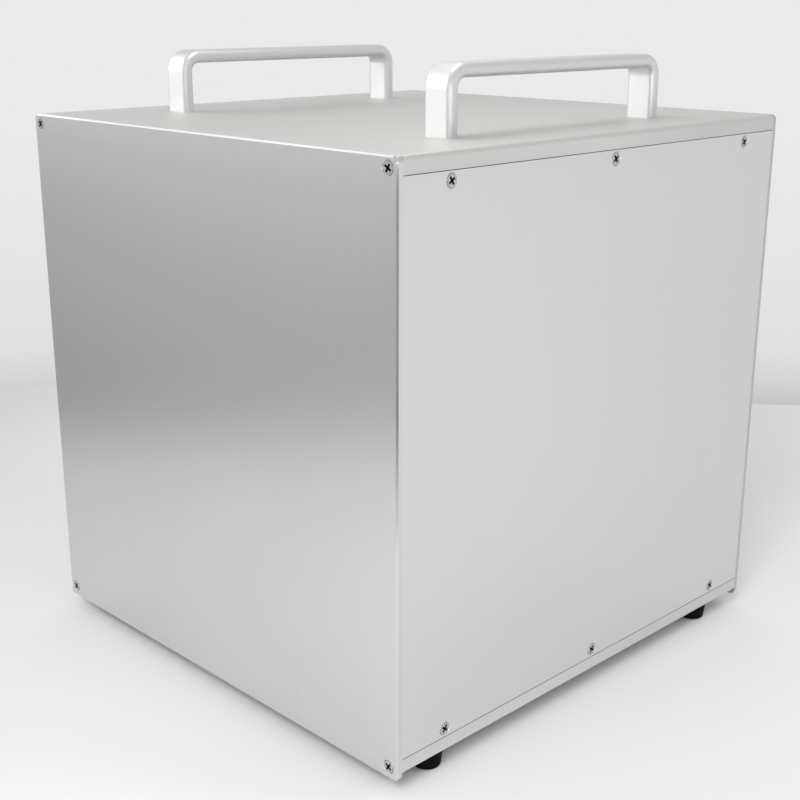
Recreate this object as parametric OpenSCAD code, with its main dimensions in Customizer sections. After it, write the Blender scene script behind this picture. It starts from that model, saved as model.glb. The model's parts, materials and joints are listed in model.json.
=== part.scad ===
// Cube-shaped aluminium amplifier chassis with two carrying handles.
// The front panel faces -Y, +Z is up, and the origin is on the standing plane
// under the middle of the case.

/* [Body] */
// Width over the side panels and the cover lips
body_w = 250; // [210:1:320]
// Length of the covers and side panels, front to back
body_d = 250; // [232:1:320]
// Height from the underside of the bottom cover to the top of the top cover
body_h = 250; // [120:1:320]

/* [Covers] */
// Thickness of the cover plate
cover_t = 3; // [2:0.25:4]
// Height of the lip that shows above and below the side panels
lip_h = 7; // [6:0.25:10]
// Rounding of the long outer edges
edge_r = 2; // [0.5:0.25:2.5]
// Width of the solid edge bar that takes the panel and foot screws
bar_w = 13; // [12:0.5:18]
// Height of the edge bar past the lip, behind the side panel
bar_step = 2; // [1:0.25:2.25]
// Thickness of the flange behind the side panel
flange_t = 3; // [2:0.25:5]
// Reach of the flange past the lip
flange_h = 10; // [7:0.5:20]

/* [Front and rear panels] */
// Thickness of the front and rear panels
panel_t = 3; // [2.5:0.25:6]
// Length of panel that hangs below the bottom cover
panel_drop = 2.5; // [0:0.25:5]
// Corner radius of the panels
panel_corner_r = 2.5; // [1:0.25:3]
// Chamfer round the outer face of the panels
panel_chamfer = 0.7; // [0.2:0.1:0.9]
// Distance of the panel screws from the side edge
panel_screw_inset = 5; // [4.5:0.25:6]
// Distance of the upper panel screws below the top of the body
panel_screw_drop = 4.5; // [4:0.25:6]
// Distance of the lower panel screws above the underside of the body
panel_screw_rise = 3; // [2.5:0.25:6]

/* [Side panels] */
// Thickness of the side panels
side_t = 2; // [1.75:0.25:3]
// Gap between a side panel and the cover lips
seam_gap = 0.3; // [0.1:0.05:0.6]
// Distance of the side screw rows from the edge of the lip
side_screw_inset = 4; // [3.9:0.1:5]
// Distance between side screws along a row
side_screw_pitch = 100; // [40:1:105]

/* [Handles] */
// Distance from the side of the body to the middle of a handle
handle_inset = 36.5; // [26:0.5:80]
// Length over the legs
handle_len = 142; // [80:1:200]
// Height above the top cover
handle_h = 29; // [22:0.5:60]
// Width of the bar
handle_w = 15; // [10:0.5:24]
// Thickness of the bar
handle_t = 6; // [5.5:0.25:9]
// Rounding of the bar's long edges
handle_edge_r = 2.5; // [0.5:0.1:2.7]
// Outer radius of the two bends
handle_bend_r = 10; // [9.5:0.5:14]
// Depth of the tapped hole in a leg
handle_hole_depth = 9; // [7.5:0.5:12]

/* [Feet] */
// Height of a foot, from the floor to the bottom cover
foot_h = 9.5; // [8:0.25:10]
// Diameter of a foot where it meets the bottom cover
foot_d = 14.5; // [13:0.25:15.5]
// Diameter that its tapered side has at the floor
foot_base_d = 12; // [11:0.25:13]
// Rounding of the edge that stands on the floor
foot_edge_r = 0.8; // [0.4:0.1:1.2]
// Diameter of the screw pocket in the underside
foot_pocket_d = 6.8; // [6.6:0.1:7.2]
// Depth of the screw pocket
foot_pocket_h = 5; // [4:0.25:6]
// Distance from the side of the body to the middle of a foot
foot_inset = 10; // [8.5:0.25:10.25]
// Distance between the front and rear feet
foot_pitch = 201; // [100:1:210]

/* [Fasteners] */
// Thread diameter of all screws
screw_d = 3; // [2.5:0.1:3.2]
// Head diameter of the countersunk screws
flat_head_d = 5.8; // [5.4:0.1:6]
// Length of the front and rear panel screws
panel_screw_len = 12; // [8:1:16]
// Length of the side panel screws
side_screw_len = 6; // [5:0.5:8]
// Head diameter of the pan head screws
pan_head_d = 5.6; // [5:0.1:6]
// Head height of the pan head screws
pan_head_h = 2.2; // [1.8:0.1:2.6]
// Radius of the dome on the pan heads
pan_dome_r = 4.5; // [3.5:0.25:8]
// Length of the handle screws under the head
handle_screw_len = 10; // [8:1:12]
// Length of the foot screws under the head
foot_screw_len = 10; // [8:0.5:10.5]
// Outer diameter of the flat washers under the handle screws
washer_d = 7; // [6:0.25:9]
// Thickness of the flat washers
washer_t = 0.5; // [0.4:0.1:1]
// Outer diameter of the split lock washers
lock_washer_d = 5.6; // [5:0.1:6.2]
// Thickness of the split lock washers
lock_washer_t = 0.8; // [0.6:0.1:1.2]
// Slit in the split lock washers
lock_washer_slit = 0.5; // [0.3:0.1:0.8]
// Outer diameter of the washers inside the feet
foot_washer_d = 6.4; // [6:0.1:6.5]

/* [Clearances] */
// Room round a screw in a plain hole, each side
hole_clear = 0.2; // [0.1:0.05:0.3]
// Room round a screw in a tapped hole, each side
thread_clear = 0.05; // [0.02:0.01:0.1]
// Room round a countersunk head, each side
head_clear = 0.1; // [0.05:0.05:0.2]
// Room past the tip of a screw in a blind hole
tip_clear = 2; // [0.5:0.25:3]

/* [Hidden] */
$fn = 64;
// Overshoot of a cutting tool past the face that it enters
cut = 1;
body_bottom = foot_h;
body_top = body_bottom + body_h;
panel_h = body_h + panel_drop;
panel_mid_z = body_top - panel_h / 2;
panel_face_y = body_d / 2 + panel_t;
side_h = body_h - 2 * (lip_h + seam_gap);
side_mid_z = body_bottom + body_h / 2;
handle_x = body_w / 2 - handle_inset;
handle_leg_y = handle_len / 2 - handle_t / 2;
handle_stack = cover_t + washer_t + lock_washer_t;
foot_x = body_w / 2 - foot_inset;
foot_y = foot_pitch / 2;
foot_draft = atan((foot_d - foot_base_d) / 2 / foot_h);
foot_edge_top = foot_edge_r * (1 - sin(foot_draft));
foot_edge_x = foot_d / 2 - (foot_h - foot_edge_top) * tan(foot_draft) - foot_edge_r * cos(foot_draft);
foot_hole_depth = foot_screw_len + tip_clear / 2 - (foot_h - foot_pocket_h + washer_t);
panel_hole_depth = panel_screw_len - panel_t + tip_clear;
tip_chamfer = screw_d / 6;
plain_hole_d = screw_d + 2 * hole_clear;
tapped_hole_d = screw_d + 2 * thread_clear;
side_row_z = [
    body_bottom + lip_h + side_screw_inset,
    body_top - lip_h - side_screw_inset
];
panel_row_z = [body_bottom + panel_screw_rise, body_top - panel_screw_drop];

// Places on the body. Each turns its children so that their +Z points away from the case,
// or upwards for what is put in from below.
module at_panel_screws(end) {
    for (side = [-1, 1], z = panel_row_z)
        translate([side * (body_w / 2 - panel_screw_inset), end * panel_face_y, z])
            rotate([-90 * end, 0, 0])
                children();
}

module at_side_screws(side) {
    for (step = [-1, 0, 1], z = side_row_z)
        translate([side * body_w / 2, step * side_screw_pitch, z])
            rotate([0, 90 * side, 0])
                children();
}

module at_handle_legs(sides = [-1, 1]) {
    for (side = sides, end = [-1, 1])
        translate([side * handle_x, end * handle_leg_y, body_top])
            children();
}

module at_feet() {
    for (side = [-1, 1], end = [-1, 1])
        translate([side * foot_x, end * foot_y, 0])
            children();
}

// A screw with its head's outer face at z = 0 and its tip below
module flat_head_screw(len) {
    head_h = (flat_head_d - screw_d) / 2;
    translate([0, 0, -head_h])
        cylinder(h = head_h, d1 = screw_d, d2 = flat_head_d);
    translate([0, 0, -len + tip_chamfer])
        cylinder(h = len - tip_chamfer - head_h / 2, d = screw_d);
    translate([0, 0, -len])
        cylinder(h = tip_chamfer, d1 = screw_d - 2 * tip_chamfer, d2 = screw_d);
}

// The countersunk hole for it through a sheet of thickness t
module flat_head_hole(t) {
    mouth_d = flat_head_d + 2 * head_clear;
    cone_h = (mouth_d - plain_hole_d) / 2;
    translate([0, 0, -t - cut])
        cylinder(h = t + 2 * cut, d = plain_hole_d);
    translate([0, 0, -cone_h])
        cylinder(h = cone_h, d1 = plain_hole_d, d2 = mouth_d);
    cylinder(h = cut, d = mouth_d);
}

// A screw with the underside of its head at z = 0 and its tip above
module pan_head_screw(len) {
    intersection() {
        translate([0, 0, -pan_head_h])
            cylinder(h = pan_head_h, d = pan_head_d);
        translate([0, 0, pan_dome_r - pan_head_h])
            sphere(r = pan_dome_r);
    }
    cylinder(h = len - tip_chamfer, d = screw_d);
    translate([0, 0, len - tip_chamfer])
        cylinder(h = tip_chamfer, d1 = screw_d, d2 = screw_d - 2 * tip_chamfer);
}

module washer(d, t) {
    difference() {
        cylinder(h = t, d = d);
        translate([0, 0, -cut])
            cylinder(h = t + 2 * cut, d = plain_hole_d);
    }
}

// Section of a cover: outer face on y = 0, inside of the case towards +y
module cover_profile() {
    difference() {
        union() {
            translate([-body_w / 2, 0])
                square([body_w, cover_t]);
            for (side = [0, 1])
                mirror([side, 0])
                    cover_edge();
        }
        for (side = [0, 1])
            mirror([side, 0])
                translate([body_w / 2 - edge_r, edge_r])
                    difference() {
                        translate([0, -edge_r - cut])
                            square([edge_r + cut, edge_r + cut]);
                        circle(r = edge_r);
                    }
    }
}

// Lip, edge bar and flange on one side of a cover
module cover_edge() {
    seat_x = body_w / 2 - side_t;
    translate([body_w / 2 - bar_w, 0])
        square([bar_w, lip_h]);
    translate([body_w / 2 - bar_w, 0])
        square([bar_w - side_t, lip_h + bar_step]);
    translate([seat_x - flange_t, 0])
        square([flange_t, lip_h + flange_h]);
}

module cover_bar() {
    rotate([90, 0, 0])
        linear_extrude(height = body_d, center = true)
            cover_profile();
}

// Tapped holes that the covers share, in place on the body
module cover_screw_holes() {
    for (end = [-1, 1])
        at_panel_screws(end)
            translate([0, 0, -panel_t - panel_hole_depth])
                cylinder(h = panel_hole_depth + cut, d = tapped_hole_d);
    for (side = [-1, 1])
        at_side_screws(side)
            translate([0, 0, -side_t - flange_t - cut])
                cylinder(h = flange_t + 2 * cut, d = tapped_hole_d);
}

module top_cover() {
    color("gainsboro")
        difference() {
            translate([0, 0, body_top])
                mirror([0, 0, 1])
                    cover_bar();
            cover_screw_holes();
            at_handle_legs()
                translate([0, 0, -cover_t - cut])
                    cylinder(h = cover_t + 2 * cut, d = plain_hole_d);
        }
}

module bottom_cover() {
    color("gainsboro")
        difference() {
            translate([0, 0, body_bottom])
                cover_bar();
            cover_screw_holes();
            at_feet()
                translate([0, 0, foot_h - cut])
                    cylinder(h = foot_hole_depth + cut, d = tapped_hole_d);
        }
}

// Plate with round corners and a chamfer round its outer face, which is on z = t
module chamfered_plate(w, h, t, r, c) {
    for (x = [-1, 1], y = [-1, 1])
        translate([x * (w / 2 - r), y * (h / 2 - r), 0]) {
            cylinder(h = t - c, r = r);
            translate([0, 0, t - c])
                cylinder(h = c, r1 = r, r2 = r - c);
        }
    rotate([90, 0, 0])
        linear_extrude(height = h - 2 * r, center = true)
            chamfered_section(w, t, c);
    rotate([90, 0, 90])
        linear_extrude(height = w - 2 * r, center = true)
            chamfered_section(h, t, c);
}

module chamfered_section(w, t, c) {
    polygon([
        [-w / 2, 0], [w / 2, 0], [w / 2, t - c],
        [w / 2 - c, t], [-w / 2 + c, t], [-w / 2, t - c]
    ]);
}

// End panel, front for end = -1 and rear for end = 1
module end_panel(end) {
    difference() {
        translate([0, end * body_d / 2, panel_mid_z])
            rotate([-90 * end, 0, 0])
                chamfered_plate(body_w, panel_h, panel_t, panel_corner_r, panel_chamfer);
        at_panel_screws(end)
            flat_head_hole(panel_t);
    }
}

module front_panel() {
    color("silver")
        end_panel(-1);
}

module rear_panel() {
    color("silver")
        end_panel(1);
}

module side_panel(side) {
    difference() {
        translate([side * (body_w / 2 - side_t / 2), 0, side_mid_z])
            cube([side_t, body_d, side_h], center = true);
        at_side_screws(side)
            flat_head_hole(side_t);
    }
}

module left_side_panel() {
    color("lightgray")
        side_panel(-1);
}

module right_side_panel() {
    color("lightgray")
        side_panel(1);
}

// Rounded section of the handle bar, thickness along x
module handle_section() {
    square([handle_t - 2 * handle_edge_r, handle_w], center = true);
    square([handle_t, handle_w - 2 * handle_edge_r], center = true);
    for (x = [-1, 1], y = [-1, 1])
        translate([x * (handle_t / 2 - handle_edge_r), y * (handle_w / 2 - handle_edge_r)])
            circle(r = handle_edge_r);
}

// Handle bar bent round two corners, drawn in the xy plane with its feet on y = 0
module handle_bar() {
    for (end = [0, 1])
        mirror([end, 0, 0]) {
            translate([handle_leg_y, 0, 0])
                rotate([-90, 0, 0])
                    linear_extrude(height = handle_h - handle_bend_r)
                        handle_section();
            translate([handle_len / 2 - handle_bend_r, handle_h - handle_bend_r, 0])
                rotate_extrude(angle = 90)
                    translate([handle_bend_r - handle_t / 2, 0])
                        handle_section();
        }
    translate([0, handle_h - handle_t / 2, 0])
        rotate([0, 90, 0])
            linear_extrude(height = handle_len - 2 * handle_bend_r, center = true)
                rotate(90)
                    handle_section();
}

module handle(side) {
    difference() {
        translate([side * handle_x, 0, body_top])
            rotate([90, 0, 90])
                handle_bar();
        at_handle_legs([side])
            translate([0, 0, -cut])
                cylinder(h = handle_hole_depth + cut, d = tapped_hole_d);
    }
}

module left_handle() {
    color("whitesmoke")
        handle(-1);
}

module right_handle() {
    color("whitesmoke")
        handle(1);
}

module handle_screws() {
    color("darkgray")
        at_handle_legs()
            translate([0, 0, -handle_stack])
                pan_head_screw(handle_screw_len);
}

module handle_lock_washers() {
    color("darkgray")
        at_handle_legs()
            translate([0, 0, -handle_stack])
                difference() {
                    washer(lock_washer_d, lock_washer_t);
                    translate([0, -lock_washer_slit / 2, -cut])
                        cube([lock_washer_d, lock_washer_slit, lock_washer_t + 2 * cut]);
                }
}

module handle_washers() {
    color("darkgray")
        at_handle_legs()
            translate([0, 0, -cover_t - washer_t])
                washer(washer_d, washer_t);
}

module front_panel_screws() {
    color("dimgray")
        at_panel_screws(-1)
            flat_head_screw(panel_screw_len);
}

module rear_panel_screws() {
    color("dimgray")
        at_panel_screws(1)
            flat_head_screw(panel_screw_len);
}

module left_panel_screws() {
    color("dimgray")
        at_side_screws(-1)
            flat_head_screw(side_screw_len);
}

module right_panel_screws() {
    color("dimgray")
        at_side_screws(1)
            flat_head_screw(side_screw_len);
}

// Tapered rubber foot standing on z = 0, with a pocket for the screw head
module foot() {
    difference() {
        rotate_extrude() {
            polygon([
                [0, 0], [foot_edge_x, 0],
                [foot_edge_x + foot_edge_r * cos(foot_draft), foot_edge_top],
                [foot_d / 2, foot_h], [0, foot_h]
            ]);
            translate([foot_edge_x, foot_edge_r])
                circle(r = foot_edge_r);
        }
        translate([0, 0, -cut])
            cylinder(h = foot_pocket_h + cut, d = foot_pocket_d);
        cylinder(h = foot_h + cut, d = plain_hole_d);
    }
}

module foot_at(side, end) {
    color("#1b1b1c")
        translate([side * foot_x, end * foot_y, 0])
            foot();
}

module front_left_foot() {
    foot_at(-1, -1);
}

module front_right_foot() {
    foot_at(1, -1);
}

module rear_left_foot() {
    foot_at(-1, 1);
}

module rear_right_foot() {
    foot_at(1, 1);
}

module foot_washers() {
    color("darkgray")
        at_feet()
            translate([0, 0, foot_pocket_h - washer_t])
                washer(foot_washer_d, washer_t);
}

module foot_screws() {
    color("darkgray")
        at_feet()
            translate([0, 0, foot_pocket_h - washer_t])
                pan_head_screw(foot_screw_len);
}

front_panel();
rear_panel();
top_cover();
bottom_cover();
left_side_panel();
right_side_panel();
left_handle();
right_handle();
handle_screws();
handle_lock_washers();
handle_washers();
front_panel_screws();
rear_panel_screws();
left_panel_screws();
right_panel_screws();
front_left_foot();
front_right_foot();
rear_left_foot();
rear_right_foot();
foot_washers();
foot_screws();
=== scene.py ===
import json
import math
import bpy
from mathutils import Matrix, Vector


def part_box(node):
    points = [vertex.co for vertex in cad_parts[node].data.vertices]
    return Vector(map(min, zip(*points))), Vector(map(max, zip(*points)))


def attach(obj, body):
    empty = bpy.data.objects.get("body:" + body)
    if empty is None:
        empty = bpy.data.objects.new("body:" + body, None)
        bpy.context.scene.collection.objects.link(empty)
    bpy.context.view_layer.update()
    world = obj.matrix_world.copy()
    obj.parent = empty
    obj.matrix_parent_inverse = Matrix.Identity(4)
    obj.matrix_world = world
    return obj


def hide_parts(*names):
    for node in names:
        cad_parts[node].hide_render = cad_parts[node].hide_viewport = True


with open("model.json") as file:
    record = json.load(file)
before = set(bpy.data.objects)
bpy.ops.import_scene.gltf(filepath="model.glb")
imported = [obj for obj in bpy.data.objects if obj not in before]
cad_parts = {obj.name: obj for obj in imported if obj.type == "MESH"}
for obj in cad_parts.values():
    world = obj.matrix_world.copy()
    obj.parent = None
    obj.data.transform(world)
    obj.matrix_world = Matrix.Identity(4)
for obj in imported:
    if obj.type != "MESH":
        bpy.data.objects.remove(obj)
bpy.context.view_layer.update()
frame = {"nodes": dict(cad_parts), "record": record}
nodes = frame["nodes"]
slotOf = {part["node"]: part["material_slot"] for part in frame["record"]["subparts"]}
print("frame loaded:", len(nodes), "nodes")

mm = 0.001


# a hex colour as seen on screen, turned to the linear values that shaders take
def linear(hexColour):
    shares = [int(hexColour[i:i + 2], 16) / 255 for i in (0, 2, 4)]
    return (*[s / 12.92 if s <= 0.04045 else ((s + 0.055) / 1.055) ** 2.4 for s in shares], 1.0)


# one node with its settings; an input is a value, or a node, a socket or a list of them to link
def addNode(tree, kind, settings=None, inputs=None):
    node = tree.nodes.new(kind)
    for name, value in (settings or {}).items():
        setattr(node, name, value)
    for name, value in (inputs or {}).items():
        for source in value if isinstance(value, list) else [value]:
            if isinstance(source, bpy.types.Node):
                source = source.outputs[0]
            if isinstance(source, bpy.types.NodeSocket):
                tree.links.new(source, node.inputs[name])
            else:
                node.inputs[name].default_value = source
    return node


def newMaterial(name):
    material = bpy.data.materials.new(name)
    material.use_nodes = True
    material.node_tree.nodes.clear()
    return material, material.node_tree


def newMesh(name, points, faces=()):
    mesh = bpy.data.meshes.new(name)
    mesh.from_pydata(points, [], faces)
    piece = bpy.data.objects.new(name, mesh)
    bpy.context.scene.collection.objects.link(piece)
    return piece


# the camera, fitted to the edges of the case in the picture
cameraLook = {
    "place": (0.45276, -0.44858, 0.31108),
    "azimuth": -45.510,  # degrees, turned left from +Y
    "pitch": -17.068,
    "roll": 0.100,
    "focalPixels": 1296.31,
    "imagePixels": 800,
    "sensor": 36.0,
    "nearest": 0.01,
}


def makeCamera(look):
    data = bpy.data.cameras.new("camera")
    data.sensor_width = look["sensor"]
    data.lens = look["focalPixels"] / look["imagePixels"] * look["sensor"]
    data.clip_start = look["nearest"]
    camera = bpy.data.objects.new("camera", data)
    bpy.context.scene.collection.objects.link(camera)
    turn = Matrix.Rotation(math.radians(-look["azimuth"]), 4, "Z")
    tilt = Matrix.Rotation(math.radians(90 + look["pitch"]), 4, "X")
    lean = Matrix.Rotation(math.radians(look["roll"]), 4, "Z")
    camera.matrix_world = Matrix.Translation(look["place"]) @ turn @ tilt @ lean
    bpy.context.scene.camera = camera


makeCamera(cameraLook)
print("camera placed")


noiseRange = (0.3, 0.7)  # nearly all values of a noise lie between these
grainDetail, grainRoughness = 3.0, 0.55  # how ragged the scratches are
softDetail = 2.0  # patches and grit are smoother
patchShare = 0.25  # how much of a brushed tone comes from slow patches
edgeRange = (0.99, 0.92)  # how square a normal stands to the main face, from face to machined edge
rimRange = (0.5, 0.3)  # and from machined edge to rim


# Brushed anodised aluminium: parallel scratches smear a reflection across the grain and
# keep it crisp along the grain; machined edges are smoother and shine more than the faces.
def brushedAluminium(name, look):
    material, tree = newMaterial(name)
    coords = addNode(tree, "ShaderNodeTexCoord").outputs["Object"]
    scale = tuple(1 / (size * mm) for size in look["grain"])
    along = addNode(tree, "ShaderNodeMapping", inputs={"Vector": coords, "Scale": scale})
    grain = addNode(tree, "ShaderNodeTexNoise", inputs={
        "Vector": along, "Scale": 1.0, "Detail": grainDetail, "Roughness": grainRoughness})
    patch = addNode(tree, "ShaderNodeTexNoise", inputs={
        "Vector": coords, "Scale": 1 / (look["patch"] * mm), "Detail": softDetail})
    tone = addNode(tree, "ShaderNodeMix", inputs={0: patchShare, 2: grain, 3: patch})
    share = addNode(tree, "ShaderNodeMapRange", inputs={
        "Value": tone, "From Min": noiseRange[0], "From Max": noiseRange[1]})
    # main faces are brushed, chamfers and rounded edges are machined, rims stand square to the faces
    normal = addNode(tree, "ShaderNodeNewGeometry").outputs["True Normal"]
    size = addNode(tree, "ShaderNodeVectorMath", {"operation": "ABSOLUTE"}, {0: normal})
    facing = addNode(tree, "ShaderNodeSeparateXYZ", inputs={0: size}).outputs[look["face"]]
    edge = addNode(tree, "ShaderNodeMapRange", inputs={
        "Value": facing, "From Min": edgeRange[0], "From Max": edgeRange[1]})
    rim = addNode(tree, "ShaderNodeMapRange", inputs={
        "Value": facing, "From Min": rimRange[0], "From Max": rimRange[1]})
    brushed = addNode(tree, "ShaderNodeMix", {"data_type": "RGBA"}, {
        0: share, 6: linear(look["valley"]), 7: linear(look["crest"])}).outputs[2]
    machined = addNode(tree, "ShaderNodeMix", {"data_type": "RGBA"}, {
        0: edge, 6: brushed, 7: linear(look["edge"])}).outputs[2]
    # a rim's own tone, which on the rear panel is painted shade and on the cover's lips painted light
    colour = addNode(tree, "ShaderNodeMix", {"data_type": "RGBA"}, {
        0: rim, 6: machined, 7: linear(look["rim"])}).outputs[2]
    low, high = look["roughness"]
    scratched = addNode(tree, "ShaderNodeMapRange", inputs={
        "Value": share, "To Min": high, "To Max": low})
    smooth = addNode(tree, "ShaderNodeMix", inputs={
        0: edge, 2: scratched, 3: look["edgeRoughness"]})
    rough = addNode(tree, "ShaderNodeMix", inputs={0: rim, 2: smooth, 3: scratched})
    bump = addNode(tree, "ShaderNodeBump", inputs={
        "Height": grain, "Distance": look["bump"] * mm, "Strength": 1.0})
    tangent = addNode(tree, "ShaderNodeTangent", {
        "direction_type": "RADIAL", "axis": look["tangent"]})
    surface = addNode(tree, "ShaderNodeBsdfPrincipled", inputs={
        "Base Color": colour, "Metallic": 1.0, "Roughness": rough,
        "Anisotropic": look["anisotropy"], "Normal": bump, "Tangent": tangent})
    addNode(tree, "ShaderNodeOutputMaterial", inputs={"Surface": surface})
    return material


# Even surfaces, blasted, moulded or plated: fine grit that mottles the tone and softens highlights.
def evenSurface(name, look):
    material, tree = newMaterial(name)
    coords = addNode(tree, "ShaderNodeTexCoord").outputs["Object"]
    grit = addNode(tree, "ShaderNodeTexNoise", inputs={
        "Vector": coords, "Scale": 1 / (look["grit"] * mm), "Detail": softDetail})
    share = addNode(tree, "ShaderNodeMapRange", inputs={
        "Value": grit, "From Min": noiseRange[0], "From Max": noiseRange[1]})
    colour = addNode(tree, "ShaderNodeMix", {"data_type": "RGBA"}, {
        0: share, 6: linear(look["low"]), 7: linear(look["high"])}).outputs[2]
    rough = addNode(tree, "ShaderNodeMapRange", inputs={
        "Value": share, "To Min": look["roughness"][1], "To Max": look["roughness"][0]})
    bump = addNode(tree, "ShaderNodeBump", inputs={
        "Height": grit, "Distance": look["bump"] * mm, "Strength": 1.0})
    surface = addNode(tree, "ShaderNodeBsdfPrincipled", inputs={
        "Base Color": colour, "Metallic": look["metallic"], "Roughness": rough, "Normal": bump,
        "Specular IOR Level": look["specular"]})
    addNode(tree, "ShaderNodeOutputMaterial", inputs={"Surface": surface})
    return material


# sizes in mm; real scratches are 0.05 mm wide, too fine to show, so they are drawn coarser
panelLook = {
    "valley": "D9DAD9", "crest": "DEDFDE", "edge": "DADBDA", "rim": "D9DAD9", "face": "Y",
    "roughness": (0.30, 0.34), "edgeRoughness": 0.26, "anisotropy": 0.8,
    "grain": (0.4, 0.4, 90.0), "patch": 70.0, "bump": 0.0003, "tangent": "Z",
}
panelMetal = brushedAluminium("brushedAnodisedAluminium", panelLook)

# the rear panel has the same faces, but its rim is painted darker as painted shade along its edge
rearLook = {**panelLook, "rim": "C2C3C2"}
rearMetal = brushedAluminium("brushedAluminiumSawnRim", rearLook)

# a duller sheet, with a finer brush that hardly shows
sideLook = {
    "valley": "DBDCDB", "crest": "DEDFDE", "edge": "E0E1E0", "rim": "D8D9D8", "face": "X",
    "roughness": (0.34, 0.37), "edgeRoughness": 0.3, "anisotropy": 0.7,
    "grain": (0.35, 0.35, 60.0), "patch": 90.0, "bump": 0.0002, "tangent": "Z",
}
sideMetal = brushedAluminium("fineBrushedAluminium", sideLook)

# a soft, nearly matt extrusion, a little warm, whose grain runs front to back; its lips are painted lighter
# than its top as painted light
coverLook = {
    "valley": "D2D3D0", "crest": "D4D5D2", "edge": "DDDDDB", "rim": "DBDBDA", "face": "Z",
    "roughness": (0.54, 0.58), "edgeRoughness": 0.45, "anisotropy": 0.4,
    "grain": (0.5, 80.0, 0.5), "patch": 90.0, "bump": 0.0006, "tangent": "X",
}
coverMetal = brushedAluminium("extrudedAnodisedAluminium", coverLook)

# bead-blasted bars: soft bright glow with no streaks
handleLook = {
    "low": "E0E0E0", "high": "E4E4E4", "roughness": (0.46, 0.50), "metallic": 1.0, "specular": 0.5,
    "grit": 0.5, "bump": 0.002,
}
handleMetal = evenSurface("satinBlastedAluminium", handleLook)

# matt black, hardly any sheen
rubberLook = {
    "low": "030303", "high": "080808", "roughness": (0.70, 0.85), "metallic": 0.0, "specular": 0.12,
    "grit": 0.35, "bump": 0.01,
}
footRubber = evenSurface("mouldedRubber", rubberLook)

# a smooth plated head, greyer than the aluminium round it
nickelLook = {
    "low": "B0B0AE", "high": "C8C8C6", "roughness": (0.18, 0.28), "metallic": 1.0, "specular": 0.5,
    "grit": 0.9, "bump": 0.0005,
}
nickelSteel = evenSurface("nickelPlatedSteel", nickelLook)

# the bottom of a driver recess, painted near-black as the shade that falls in it
recessLook = {
    "low": "0B0B0B", "high": "181817", "roughness": (0.55, 0.70), "metallic": 1.0, "specular": 0.5,
    "grit": 0.3, "bump": 0.0005,
}
recessSteel = evenSurface("oiledRecessSteel", recessLook)

# a faintly blue plating on what is hidden in the case
zincLook = {
    "low": "AEB2B6", "high": "C8CBCE", "roughness": (0.30, 0.42), "metallic": 1.0, "specular": 0.5,
    "grit": 1.2, "bump": 0.0005,
}
zincSteel = evenSurface("zincPlatedSteel", zincLook)

finishes = {
    "panel": panelMetal, "side": sideMetal, "cover": coverMetal, "handle": handleMetal,
    "hardware": zincSteel, "screw": nickelSteel, "foot": footRubber,
}
for node, slot in slotOf.items():
    for materialSlot in nodes[node].material_slots:
        # the rear panel takes the copy whose rim carries painted shade
        materialSlot.material = rearMetal if node == "rear_panel" else finishes[slot]
print("materials made for", len(finishes), "slots")

# cross-recess screws, M3: countersunk ones in the panels, pan heads in the handles and feet
threadLook = {
    "Sides": 32, "Shank Radius": 1.5 * mm, "Root Radius": 1.22 * mm, "Tip Radius": 1.2 * mm,
    "Thread Pitch": 0.5 * mm, "Ring Spacing": 0.5 * mm / 6,  # six rings draw one pitch
    "Recess Width": 3.6 * mm, "Recess Depth": 1.2 * mm,
    "Wing Width": 0.95 * mm, "Wing Taper": 1.4,  # growth over one recess depth
    "Core Sides": 16, "Core Radius": 0.88 * mm, "Core Tip Radius": 0.4 * mm, "Core Depth": 1.5 * mm,
    "Sharp Angle": math.radians(28),  # edges that bend more are not smoothed
    "Least Turn": math.radians(28), "Most Turn": math.radians(62),
}
flatHeadLook = {**threadLook, "Head Radius": 2.9 * mm, "Top Radius": 2.65 * mm}
panHeadLook = {
    **threadLook, "Head Radius": 2.8 * mm, "Top Radius": 0.6 * mm, "Head Bottom": -2.2 * mm,
    "Dome Diameter": 9.0 * mm,
}
flatHeadSets = {
    "front_panel_screws": {"facing": (0, -1, 0), "rows": (2, 1, 2), "length": 12.0 * mm, "seed": 3},
    "rear_panel_screws": {"facing": (0, 1, 0), "rows": (2, 1, 2), "length": 12.0 * mm, "seed": 7},
    "left_panel_screws": {"facing": (-1, 0, 0), "rows": (1, 3, 2), "length": 6.0 * mm, "seed": 5},
    "right_panel_screws": {"facing": (1, 0, 0), "rows": (1, 3, 2), "length": 6.0 * mm, "seed": 4},
}
panHeadSets = {
    "handle_screws": {"facing": (0, 0, -1), "rows": (2, 2, 1), "length": 12.2 * mm, "seed": 2},
    "foot_screws": {"facing": (0, 0, -1), "rows": (2, 2, 1), "length": 12.2 * mm, "seed": 6},
}


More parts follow.
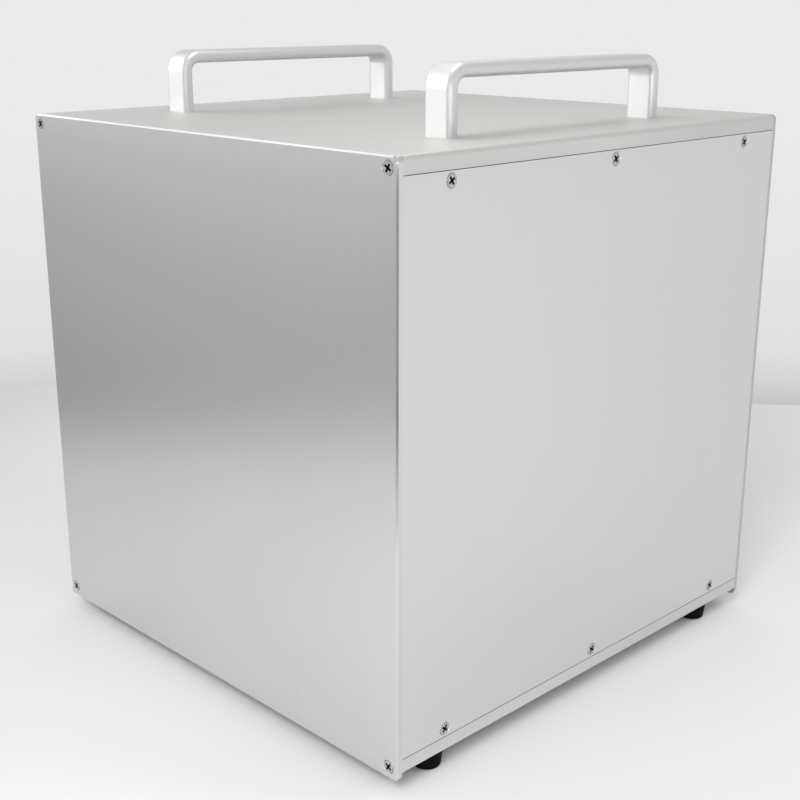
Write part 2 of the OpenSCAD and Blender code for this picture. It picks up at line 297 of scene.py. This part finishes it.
# the top of a head is at zero and its shank runs down -Z; the screw then sits on every seat
def screwTree(name, look):
    tree = bpy.data.node_groups.new(name, "GeometryNodeTree")
    sockets = {
        "Seats": "Geometry", **{size: "Int" if isinstance(look[size], int) else "Float" for size in look},
        "Length": "Float", "Facing": "Vector", "Seed": "Int", "Head Metal": "Material",
        "Recess Metal": "Material",
    }
    for socket, kind in sockets.items():
        tree.interface.new_socket(socket, in_out="INPUT", socket_type="NodeSocket" + kind)
    tree.interface.new_socket("Screws", in_out="OUTPUT", socket_type="NodeSocketGeometry")
    given = addNode(tree, "NodeGroupInput").outputs
    place = addNode(tree, "GeometryNodeInputPosition")
    x, y, z = addNode(tree, "ShaderNodeSeparateXYZ", inputs={0: place}).outputs

    # a rod as long as the whole screw, with rings close enough to carry the thread
    rings = addNode(tree, "ShaderNodeMath", {"operation": "DIVIDE"}, {
        0: given["Length"], 1: given["Ring Spacing"]})
    rod = addNode(tree, "GeometryNodeMeshCylinder", inputs={
        "Vertices": given["Sides"], "Side Segments": rings, "Radius": given["Shank Radius"],
        "Depth": given["Length"]})
    middle = addNode(tree, "ShaderNodeMath", {"operation": "MULTIPLY"}, {0: given["Length"], 1: -0.5})
    down = addNode(tree, "ShaderNodeCombineXYZ", inputs={2: middle})
    rod = addNode(tree, "GeometryNodeTransform", inputs={"Geometry": rod, "Translation": down})

    # thread: the radius goes to and fro between crest and root once in a turn
    angle = addNode(tree, "ShaderNodeMath", {"operation": "ARCTAN2"}, {0: y, 1: x})
    turns = addNode(tree, "ShaderNodeMath", {"operation": "DIVIDE"}, {0: angle, 1: 2 * math.pi})
    pitches = addNode(tree, "ShaderNodeMath", {"operation": "DIVIDE"}, {0: z, 1: given["Thread Pitch"]})
    phase = addNode(tree, "ShaderNodeMath", {"operation": "SUBTRACT"}, {0: pitches, 1: turns})
    halfTurn = 0.5
    wave = addNode(tree, "ShaderNodeMath", {"operation": "PINGPONG"}, {0: phase, 1: halfTurn})
    thread = addNode(tree, "ShaderNodeMapRange", inputs={
        "Value": wave, "From Max": halfTurn,
        "To Min": given["Shank Radius"], "To Max": given["Root Radius"]})
    above = addNode(tree, "ShaderNodeMath", {"operation": "ADD"}, {0: z, 1: given["Length"]})
    tip = addNode(tree, "ShaderNodeMath", {"operation": "ADD"}, {0: above, 1: given["Tip Radius"]})
    shank = addNode(tree, "ShaderNodeMath", {"operation": "MINIMUM"}, {0: thread, 1: tip})

    if "Dome Diameter" in look:
        # pan head: a round dome, cut off by a cylinder; the thread ends under it
        rest = addNode(tree, "ShaderNodeMath", {"operation": "ADD"}, {0: given["Dome Diameter"], 1: z})
        product = addNode(tree, "ShaderNodeMath", {"operation": "MULTIPLY"}, {0: rest, 1: z})
        squared = addNode(tree, "ShaderNodeMath", {"operation": "ABSOLUTE"}, {0: product})
        dome = addNode(tree, "ShaderNodeMath", {"operation": "SQRT"}, {0: squared})
        flat = addNode(tree, "ShaderNodeMath", {"operation": "MAXIMUM"}, {0: dome, 1: given["Top Radius"]})
        side = addNode(tree, "ShaderNodeMath", {"operation": "MINIMUM"}, {0: flat, 1: given["Head Radius"]})
        inHead = addNode(tree, "ShaderNodeMath", {"operation": "GREATER_THAN"}, {
            0: z, 1: given["Head Bottom"]})
        head = addNode(tree, "ShaderNodeMath", {"operation": "MULTIPLY"}, {0: side, 1: inHead})
        inShank = addNode(tree, "ShaderNodeMath", {"operation": "SUBTRACT"}, {0: 1.0, 1: inHead})
        shank = addNode(tree, "ShaderNodeMath", {"operation": "MULTIPLY"}, {0: shank, 1: inShank})
    else:
        # countersunk head: a right-angled cone with its rim broken
        cone = addNode(tree, "ShaderNodeMath", {"operation": "ADD"}, {0: given["Head Radius"], 1: z})
        rim = addNode(tree, "ShaderNodeMath", {"operation": "SUBTRACT"}, {0: given["Top Radius"], 1: z})
        head = addNode(tree, "ShaderNodeMath", {"operation": "MINIMUM"}, {0: cone, 1: rim})
    radius = addNode(tree, "ShaderNodeMath", {"operation": "MAXIMUM"}, {0: head, 1: shank})
    growth = addNode(tree, "ShaderNodeMath", {"operation": "DIVIDE"}, {
        0: radius, 1: given["Shank Radius"]})
    outwards = addNode(tree, "ShaderNodeCombineXYZ", inputs={0: growth, 1: growth, 2: 1.0})
    turned = addNode(tree, "ShaderNodeVectorMath", {"operation": "MULTIPLY"}, {0: place, 1: outwards})
    screw = addNode(tree, "GeometryNodeSetPosition", inputs={"Geometry": rod, "Position": turned})
    screw = addNode(tree, "GeometryNodeTriangulate", inputs={"Mesh": screw})  # flat faces cut cleanly

    # cross recess: two wings that narrow towards their bottom and a deeper cone where they meet
    twice = addNode(tree, "ShaderNodeMath", {"operation": "MULTIPLY"}, {0: given["Recess Depth"], 1: 2.0})
    block = addNode(tree, "ShaderNodeCombineXYZ", inputs={
        0: given["Recess Width"], 1: given["Wing Width"], 2: twice})
    wing = addNode(tree, "GeometryNodeMeshCube", inputs={"Size": block})
    narrow = addNode(tree, "ShaderNodeMapRange", {"clamp": False}, {
        "Value": z, "From Max": given["Recess Depth"], "To Min": 1.0, "To Max": given["Wing Taper"]})
    inwards = addNode(tree, "ShaderNodeCombineXYZ", inputs={0: narrow, 1: narrow, 2: 1.0})
    tapered = addNode(tree, "ShaderNodeVectorMath", {"operation": "MULTIPLY"}, {0: place, 1: inwards})
    wing = addNode(tree, "GeometryNodeSetPosition", inputs={"Geometry": wing, "Position": tapered})
    crossWing = addNode(tree, "GeometryNodeTransform", inputs={
        "Geometry": wing, "Rotation": (0, 0, math.radians(90))})
    core = addNode(tree, "GeometryNodeMeshCone", inputs={
        "Vertices": given["Core Sides"], "Radius Top": given["Core Radius"],
        "Radius Bottom": given["Core Tip Radius"], "Depth": twice})
    deep = addNode(tree, "ShaderNodeMath", {"operation": "MULTIPLY"}, {0: given["Core Depth"], 1: -1.0})
    sunk = addNode(tree, "ShaderNodeCombineXYZ", inputs={2: deep})
    core = addNode(tree, "GeometryNodeTransform", inputs={"Geometry": core, "Translation": sunk})
    punch = addNode(tree, "GeometryNodeJoinGeometry", inputs={0: [wing, crossWing, core]})
    punch = addNode(tree, "GeometryNodeStoreNamedAttribute", {"data_type": "BOOLEAN", "domain": "FACE"}, {
        "Geometry": punch, "Name": "recess", "Value": True})
    screw = addNode(tree, "GeometryNodeMeshBoolean", {"operation": "DIFFERENCE", "solver": "EXACT"}, {
        "Mesh 1": screw, "Mesh 2": punch, "Self Intersection": True})

    screw = addNode(tree, "GeometryNodeSetShadeSmooth", {"domain": "FACE"}, {
        "Geometry": screw, "Shade Smooth": True})
    bend = addNode(tree, "GeometryNodeInputMeshEdgeAngle")
    sharp = addNode(tree, "ShaderNodeMath", {"operation": "GREATER_THAN"}, {
        0: bend, 1: given["Sharp Angle"]})
    screw = addNode(tree, "GeometryNodeSetShadeSmooth", {"domain": "EDGE"}, {
        "Geometry": screw, "Selection": sharp, "Shade Smooth": False})

    # no two screws stop at the same turn
    spin = addNode(tree, "FunctionNodeRandomValue", {"data_type": "FLOAT"}, {
        2: given["Least Turn"], 3: given["Most Turn"], "Seed": given["Seed"]})
    turn = addNode(tree, "FunctionNodeAxisAngleToRotation", inputs={
        "Axis": (0, 0, 1), "Angle": spin.outputs[1]})
    aim = addNode(tree, "FunctionNodeAlignRotationToVector", {"axis": "Z"}, {"Vector": given["Facing"]})
    aim = addNode(tree, "FunctionNodeRotateRotation", {"rotation_space": "LOCAL"}, {0: aim, 1: turn})
    placed = addNode(tree, "GeometryNodeInstanceOnPoints", inputs={
        "Points": given["Seats"], "Instance": screw, "Rotation": aim})
    whole = addNode(tree, "GeometryNodeRealizeInstances", inputs={"Geometry": placed})
    metal = addNode(tree, "GeometryNodeSetMaterial", inputs={
        "Geometry": whole, "Material": given["Head Metal"]})
    # faces cut by the recess take the near-black metal: painted shade in the recess
    recess = addNode(tree, "GeometryNodeInputNamedAttribute", {"data_type": "BOOLEAN"}, {"Name": "recess"})
    metal = addNode(tree, "GeometryNodeSetMaterial", inputs={
        "Geometry": metal, "Selection": recess, "Material": given["Recess Metal"]})
    addNode(tree, "NodeGroupOutput", inputs={"Screws": metal})
    return tree


# seats come from the CAD screws: rows across their box, a head's radius in from its sides
def screwSeats(node, look, inset):
    low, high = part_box(node)
    spans = []
    for axis in range(3):
        if look["facing"][axis]:
            spans.append([high[axis] if look["facing"][axis] > 0 else low[axis]])
        else:
            first, last = low[axis] + inset, high[axis] - inset
            gaps = look["rows"][axis] - 1
            spans.append([first + (last - first) * i / gaps for i in range(gaps + 1)])
    return [(x, y, z) for x in spans[0] for y in spans[1] for z in spans[2]]


def makeScrews(tree, node, look, sizes):
    first, *others = node.split("_")
    piece = newMesh(first + "".join(word.title() for word in others),
                    screwSeats(node, look, sizes["Head Radius"]))
    modifier = piece.modifiers.new("screws", "NODES")
    modifier.node_group = tree
    values = {
        **sizes, "Length": look["length"], "Facing": look["facing"], "Seed": look["seed"],
        "Head Metal": finishes[slotOf[node]], "Recess Metal": recessSteel,
    }
    for socket in tree.interface.items_tree:
        if socket.name in values:
            modifier[socket.identifier] = values[socket.name]
    depsgraph = bpy.context.evaluated_depsgraph_get()
    mesh = bpy.data.meshes.new_from_object(piece.evaluated_get(depsgraph))
    piece.modifiers.clear()
    piece.data = mesh
    while None in list(mesh.materials):
        mesh.materials.pop(index=list(mesh.materials).index(None))  # primitives bring an empty slot
    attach(piece, "root")
    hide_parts(node)
    print(piece.name, len(mesh.polygons), "faces", [m.name for m in mesh.materials])


flatHeadTree = screwTree("countersunkScrews", flatHeadLook)
for node, look in flatHeadSets.items():
    makeScrews(flatHeadTree, node, look, flatHeadLook)
panHeadTree = screwTree("panHeadScrews", panHeadLook)
for node, look in panHeadSets.items():
    makeScrews(panHeadTree, node, look, panHeadLook)
print("screws made")

# the table's tone is painted light and shade: darker towards the wall, lighter towards the camera, lighter
# before the front panel and darker again beyond it
tableLook = {
    "wallStart": (-0.543, 0.051), "wallEnd": (-0.035, 0.484),  # where the table meets the wall
    "reach": 4.0, "drop": 0.2 * mm,
    "farTone": "C9C9C9", "nearTone": "DBDBDB", "nearDistance": 0.60,
    "leftwards": (-0.714, -0.700, 0.0),
    "rise": (-0.05, 0.15), "riseShares": (0.95, 1.06),  # brighter before the front panel
    "fall": (0.10, 0.42), "fallShares": (1.0, 0.85),  # and dimmer again beyond it
}


def makeTable(look):
    start, end = Vector(look["wallStart"]), Vector(look["wallEnd"])
    along = (end - start).normalized()
    front = Vector((along.y, -along.x))  # towards the camera
    reach = look["reach"]
    corners = [start - along * reach, end + along * reach,
               end + along * reach + front * reach, start - along * reach + front * reach]
    table = newMesh("table", [(c.x, c.y, -look["drop"]) for c in corners], [(0, 3, 2, 1)])
    material, tree = newMaterial("paintedTable")
    coords = addNode(tree, "ShaderNodeTexCoord").outputs["Object"]
    depth = addNode(tree, "ShaderNodeVectorMath", {"operation": "DOT_PRODUCT"}, {
        0: coords, 1: (front.x, front.y, 0.0)}).outputs["Value"]
    share = addNode(tree, "ShaderNodeMapRange", inputs={
        "Value": depth, "From Min": start.dot(front), "From Max": start.dot(front) + look["nearDistance"]})
    tone = addNode(tree, "ShaderNodeMix", {"data_type": "RGBA"}, {
        0: share, 6: linear(look["farTone"]), 7: linear(look["nearTone"])}).outputs[2]
    left = addNode(tree, "ShaderNodeVectorMath", {"operation": "DOT_PRODUCT"}, {
        0: coords, 1: look["leftwards"]}).outputs["Value"]
    shares = [addNode(tree, "ShaderNodeMapRange", inputs={
        "Value": left, "From Min": look[step][0], "From Max": look[step][1],
        "To Min": look[step + "Shares"][0], "To Max": look[step + "Shares"][1]})
        for step in ("rise", "fall")]
    light = addNode(tree, "ShaderNodeMath", {"operation": "MULTIPLY"}, {0: shares[0], 1: shares[1]})
    paint = addNode(tree, "ShaderNodeMix", {"data_type": "RGBA", "blend_type": "MULTIPLY"}, {
        0: 1.0, 6: tone, 7: light}).outputs[2]
    surface = addNode(tree, "ShaderNodeBsdfDiffuse", inputs={"Color": paint})
    addNode(tree, "ShaderNodeOutputMaterial", inputs={"Surface": surface})
    table.data.materials.append(material)


makeTable(tableLook)

# cards that the camera does not see: a grey one darkens the upper half of the front panel and shades
# the table under it, a narrow one darkens the panel's near edge, a white one brightens the handles
flagSet = {
    "frontFlag": {
        "foot": (-0.229, -0.477), "along": (-0.709, 0.705), "reach": 1.6, "bottom": 0.0, "top": 0.245,
        "blend": 0.245, "low": 0.45, "high": 0.69, "fade": (0.11, 0.42), "farShare": 0.62, "shades": True,
    },
    "edgeFlag": {
        "foot": (0.182, -0.185), "along": (0.707, 0.707), "reach": 0.027, "bottom": 0.079, "top": 0.25,
        "blend": 0.056, "low": 0.85, "high": 0.1, "shades": False,
    },
    "handleCard": {
        "foot": (0.57, -0.49), "along": (0.65, 0.76), "reach": 0.34, "bottom": 0.0, "top": 0.32,
        "blend": 0.32, "low": 2.4, "high": 2.4, "shades": False,
    },
}


def makeFlag(name, look):
    foot, side = Vector(look["foot"]), Vector(look["along"]) * look["reach"]
    ends = [foot - side, foot + side]
    corners = [(e.x, e.y, look["bottom"]) for e in ends]
    corners += [(e.x, e.y, look["top"]) for e in reversed(ends)]
    flag = newMesh(name, corners, [(0, 1, 2, 3)])
    material, tree = newMaterial(name + "Grey")
    coords = addNode(tree, "ShaderNodeTexCoord").outputs["Object"]
    height = addNode(tree, "ShaderNodeSeparateXYZ", inputs={0: coords}).outputs[2]
    tone = addNode(tree, "ShaderNodeMapRange", inputs={
        "Value": height, "From Min": look["bottom"], "From Max": look["bottom"] + look["blend"],
        "To Min": look["low"], "To Max": look["high"]})
    if "fade" in look:  # dimmer towards its far end
        run = addNode(tree, "ShaderNodeVectorMath", {"operation": "DOT_PRODUCT"}, {
            0: coords, 1: (*look["along"], 0.0)}).outputs["Value"]
        start = foot.dot(Vector(look["along"]))
        fade = addNode(tree, "ShaderNodeMapRange", inputs={
            "Value": run, "From Min": start + look["fade"][0], "From Max": start + look["fade"][1],
            "To Min": 1.0, "To Max": look["farShare"]})
        tone = addNode(tree, "ShaderNodeMath", {"operation": "MULTIPLY"}, {0: tone, 1: fade})
    surface = addNode(tree, "ShaderNodeEmission", inputs={"Color": tone})
    addNode(tree, "ShaderNodeOutputMaterial", inputs={"Surface": surface})
    flag.data.materials.append(material)
    flag.visible_camera = False
    flag.visible_diffuse = look["shades"]
    flag.visible_shadow = look["shades"]


for name, look in flagSet.items():
    makeFlag(name, look)

lampSet = {
    "windowLamp": {
        "place": (-1.15, -1.1, 0.77), "aim": (0, 0, 0.25), "size": (1.7, 1.05), "power": 9.7,
        "lights": "metal",
    },
    "edgeLamp": {
        "place": (-1.2, -0.3, 1.1), "aim": (0, -0.128, 0.26), "size": (0.34, 0.66), "power": 0.8,
        "lights": "metal",
    },
    "topLamp": {
        "place": (0.04, -0.04, 0.5), "aim": (0.04, -0.04, 0), "size": (0.16, 0.16), "power": 0.19,
        "lights": "metal",
    },
    "frontLamp": {
        "place": (1.15, -2.05, 2.15), "aim": (0, 0, 0), "size": (1.3, 1.3), "power": 62.0,
        "lights": "table",
    },
    "rightLamp": {
        "place": (1.7, 1.6, 1.4), "aim": (1.3, 1.2, 0), "size": (0.9, 0.9), "power": 10.0,
        "lights": "table",
    },
}


def makeLamp(name, look):
    data = bpy.data.lights.new(name, "AREA")
    data.shape = "RECTANGLE"
    data.size, data.size_y = look["size"]
    data.energy = look["power"]
    lamp = bpy.data.objects.new(name, data)
    lamp.location = look["place"]
    aim = Vector(look["aim"]) - Vector(look["place"])
    lamp.rotation_euler = aim.to_track_quat("-Z", "Y").to_euler()
    bpy.context.scene.collection.objects.link(lamp)
    lamp.visible_camera = False
    lamp.visible_diffuse = look["lights"] == "table"
    lamp.visible_glossy = look["lights"] == "metal"


for name, look in lampSet.items():
    makeLamp(name, look)

# tones of the room by the height of the direction: below zero the wall that is seen, with painted shade at
# its foot; above it dimmer
worldLook = {
    "fill": 0.93,
    "tones": [(-0.29, "BEBEBE"), (-0.278, "CACACA"), (-0.266, "D6D6D6"), (-0.246, "DFDFDF"),
              (-0.18, "E6E6E6"), (-0.09, "EAEAEA"), (0.02, "EAEAEA"), (0.22, "DADADA"),
              (0.50, "D8D8D8")],
}


# the room: an even soft fill, and a pale wall that the camera and the metal see
def makeWorld(look):
    world = bpy.data.worlds.new("paleRoom")
    world.use_nodes = True
    tree = world.node_tree
    tree.nodes.clear()
    bpy.context.scene.world = world
    direction = addNode(tree, "ShaderNodeTexCoord").outputs["Generated"]
    height = addNode(tree, "ShaderNodeSeparateXYZ", inputs={0: direction}).outputs[2]
    bottom, top = look["tones"][0][0], look["tones"][-1][0]
    share = addNode(tree, "ShaderNodeMapRange", inputs={
        "Value": height, "From Min": bottom, "From Max": top})
    ramp = addNode(tree, "ShaderNodeValToRGB", inputs={0: share})
    stops = ramp.color_ramp.elements
    stops.remove(stops[0])
    for place, colour in look["tones"][:-1]:
        stops.new((place - bottom) / (top - bottom)).color = linear(colour)
    stops[-1].color = linear(look["tones"][-1][1])
    wall = addNode(tree, "ShaderNodeBackground", inputs={"Color": ramp, "Strength": 1.0})
    fill = addNode(tree, "ShaderNodeBackground", inputs={
        "Color": (1, 1, 1, 1), "Strength": look["fill"]})
    rays = addNode(tree, "ShaderNodeLightPath").outputs
    mirrored = addNode(tree, "ShaderNodeMath", {"operation": "MAXIMUM"}, {
        0: rays["Is Glossy Ray"], 1: rays["Is Transmission Ray"]})
    shown = addNode(tree, "ShaderNodeMath", {"operation": "MAXIMUM"}, {
        0: rays["Is Camera Ray"], 1: mirrored})
    both = addNode(tree, "ShaderNodeMixShader", inputs={0: shown, 1: fill, 2: wall})
    addNode(tree, "ShaderNodeOutputWorld", inputs={"Surface": both})


makeWorld(worldLook)
bpy.context.scene.view_settings.view_transform = "Standard"
print("stage and light set")
